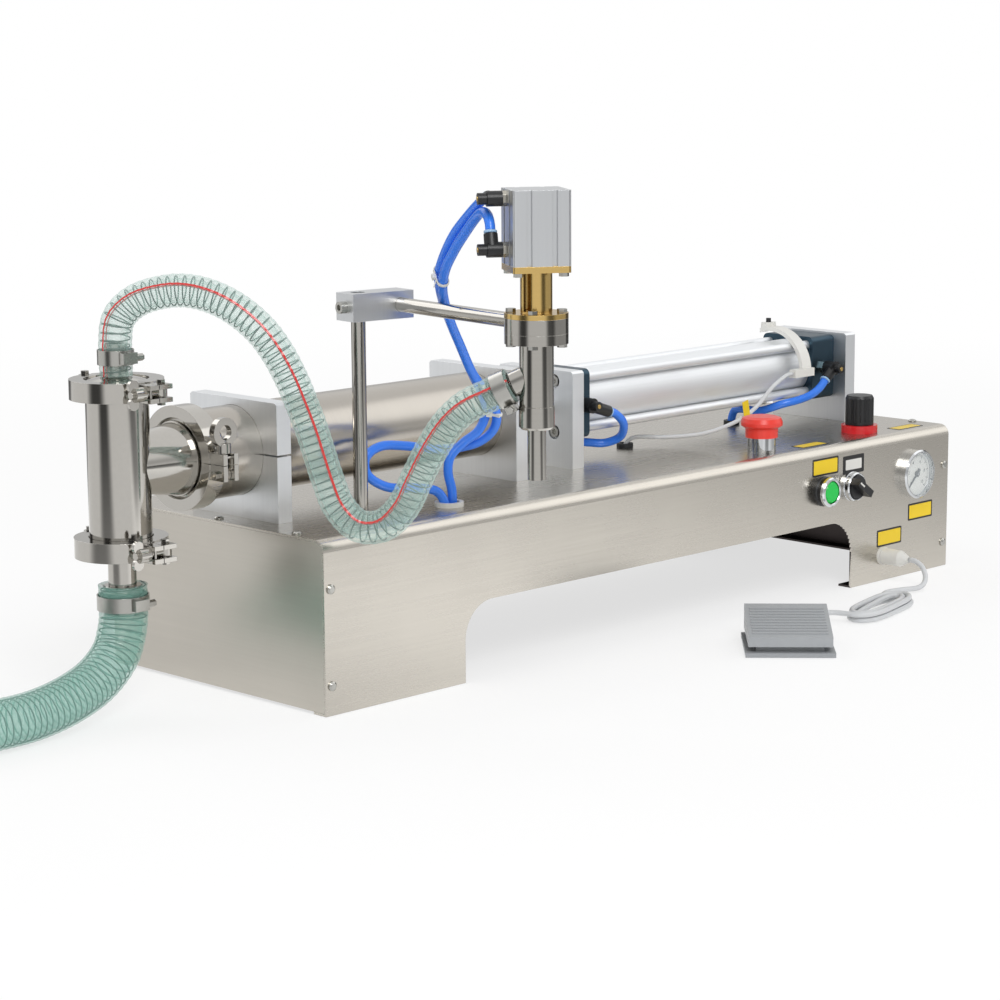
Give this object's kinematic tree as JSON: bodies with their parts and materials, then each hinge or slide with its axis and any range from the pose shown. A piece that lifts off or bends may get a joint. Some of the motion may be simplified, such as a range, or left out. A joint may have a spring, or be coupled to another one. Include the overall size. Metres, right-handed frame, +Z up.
{
  "type": "liquid filling machine",
  "caption": "Bench filler for liquids: an air cylinder drives a piston in a steel barrel, a three-way check valve feeds a nozzle on a post, with hoses and a foot switch.",
  "frame": {"origin": "middle of the base footprint, on the table", "axes": "+X along the machine from the valve to the controls, +Y from the control panel to the back, +Z up"},
  "size_m": [1.1767, 0.4633, 0.424],
  "materials": {
    "brushed_stainless": "brushed, glossy",
    "polished_stainless": "polished",
    "barrel_stainless": "satin",
    "machined_aluminium": "fine milled, clear anodised",
    "satin_aluminium": "satin, clear anodised",
    "slate_caps": "dark anodised",
    "zinc_screws": "bright zinc",
    "hard_chrome": "hard chromed",
    "brass": "turned",
    "black_plastic": "moulded",
    "white_plastic": "moulded",
    "white_ptfe": "smooth",
    "seal_rubber": "smooth",
    "clear_silicone": "smooth",
    "red_plastic": "moulded",
    "green_plastic": "moulded, translucent",
    "grey_plastic": "moulded",
    "light_grey_plastic": "moulded",
    "green_hose": "clear soft vinyl, green tint",
    "blue_tube": "smooth",
    "cable_grey": "smooth"
  },
  "bodies": {
    "root": {"base_wrap": "brushed_stainless", "end_plates": "brushed_stainless", "panel_screws": "zinc_screws", "deck_grommets": "white_plastic", "barrel_block": "machined_aluminium", "barrel_end_plate": "machined_aluminium", "cylinder_plates": "machined_aluminium", "plate_screws": "zinc_screws", "barrel": "barrel_stainless", "air_caps": "slate_caps", "air_tube": "satin_aluminium", "tie_rods": "hard_chrome", "cylinder_throttles": "black_plastic", "valve_body": "polished_stainless", "valve_nipples": "polished_stainless", "valve_gaskets": "clear_silicone", "clamp_halves": "polished_stainless", "clamp_bolts": "polished_stainless", "valve_hose_clamps": "zinc_screws", "post": "polished_stainless", "panel_fittings": "hard_chrome", "regulator_body": "red_plastic", "gauge_case": "hard_chrome", "foot_base": "grey_plastic", "cable_plug": "white_plastic", "suction_hose": "green_hose", "outlet_hose": "green_hose", "nozzle_air_tubes": "blue_tube", "cylinder_air_tubes": "blue_tube", "reed_cable": "cable_grey", "foot_cable": "cable_grey", "foot_hank": "cable_grey"},
    "drive": {"product_piston": "white_ptfe", "piston_seals": "seal_rubber", "piston_rod": "hard_chrome", "air_piston": "machined_aluminium"},
    "inlet_check": {"inlet_ball": "white_ptfe"},
    "outlet_check": {"outlet_ball": "white_ptfe"},
    "top_nut": {"top_wing_nut": "polished_stainless"},
    "bottom_nut": {"bottom_wing_nut": "polished_stainless"},
    "barrel_nut": {"barrel_eye_nut": "polished_stainless"},
    "carriage": {"cross_clamp": "machined_aluminium", "nozzle_screws": "zinc_screws", "nozzle_arm": "polished_stainless", "nozzle_cylinder": "satin_aluminium", "nozzle_coupling": "brass", "nozzle_body": "polished_stainless", "nozzle_tip": "polished_stainless", "nozzle_hose_clamp": "zinc_screws", "nozzle_throttles": "black_plastic"},
    "plunger": {"nozzle_plunger": "hard_chrome"},
    "sensor": {"sensor_ring": "white_plastic"},
    "stop_stem": {"estop_stem": "black_plastic"},
    "stop_head": {"estop_button": "red_plastic"},
    "start": {"start_button": "green_plastic"},
    "selector": {"selector_knob": "black_plastic"},
    "pressure_spindle": {"regulator_spindle": "zinc_screws"},
    "pressure_knob": {"regulator_knob": "black_plastic"},
    "needle": {"gauge_needle": "black_plastic"},
    "pedal": {"foot_pedal": "grey_plastic"}
  },
  "joints": [
    {"name": "piston_stroke", "type": "slide", "parent": "root", "child": "drive", "axis": [1, 0, 0], "range_m": [0, 0.25]},
    {"name": "inlet_ball_lift", "type": "slide", "parent": "root", "child": "inlet_check", "axis": [0, 0, 1], "range_m": [0, 0.006]},
    {"name": "outlet_ball_lift", "type": "slide", "parent": "root", "child": "outlet_check", "axis": [0, 0, 1], "range_m": [0, 0.006]},
    {"name": "top_nut_spin", "type": "hinge", "parent": "root", "child": "top_nut", "pos_m": [-0.516, -0.046, 0.264], "axis": [-1, 0, 0], "continuous": true},
    {"name": "bottom_nut_spin", "type": "hinge", "parent": "root", "child": "bottom_nut", "pos_m": [-0.516, -0.046, 0.136], "axis": [-1, 0, 0], "continuous": true},
    {"name": "barrel_nut_spin", "type": "hinge", "parent": "root", "child": "barrel_nut", "pos_m": [-0.45, -0.0516, 0.2], "axis": [0, 0, 1], "continuous": true},
    {"name": "nozzle_height", "type": "slide", "parent": "root", "child": "carriage", "axis": [0, 0, 1], "range_m": [-0.07, 0], "deforming": ["outlet_hose", "nozzle_air_tubes"]},
    {"name": "nozzle_plunger_lift", "type": "slide", "parent": "carriage", "child": "plunger", "axis": [0, 0, 1], "range_m": [0, 0.012]},
    {"name": "sensor_shift", "type": "slide", "parent": "root", "child": "sensor", "axis": [1, 0, 0], "range_m": [-0.24, 0], "deforming": ["reed_cable"]},
    {"name": "stop_push", "type": "slide", "parent": "root", "child": "stop_stem", "axis": [0, 0, -1], "range_m": [0, 0.004]},
    {"name": "stop_twist", "type": "hinge", "parent": "stop_stem", "child": "stop_head", "pos_m": [0.165, -0.105, 0.17], "axis": [0, 0, 1], "range_deg": [0, 40], "stiffness_Nm_per_rad": 0.05},
    {"name": "start_push", "type": "slide", "parent": "root", "child": "start", "axis": [0, 1, 0], "range_m": [0, 0.004], "stiffness_N_per_m": 800, "springref_m": -0.002},
    {"name": "selector_turn", "type": "hinge", "parent": "root", "child": "selector", "pos_m": [0.2615, -0.138, 0.1015], "axis": [0, -1, 0], "range_deg": [0, 90]},
    {"name": "pressure_turn", "type": "hinge", "parent": "root", "child": "pressure_spindle", "pos_m": [0.3235, -0.1, 0.16], "axis": [0, 0, 1], "range_deg": [0, 720]},
    {"name": "pressure_pull", "type": "slide", "parent": "pressure_spindle", "child": "pressure_knob", "axis": [0, 0, 1], "range_m": [0, 0.003]},
    {"name": "needle_turn", "type": "hinge", "parent": "root", "child": "needle", "pos_m": [0.365, -0.138, 0.101], "axis": [0, 1, 0], "range_deg": [0, 270], "stiffness_Nm_per_rad": 0.0005},
    {"name": "pedal_press", "type": "hinge", "parent": "root", "child": "pedal", "pos_m": [0.04693, -0.23192, 0.016], "axis": [0.6769, -0.7361, 0], "range_deg": [0, 3.5], "stiffness_Nm_per_rad": 3, "springref_deg": -2.86}
  ]
}
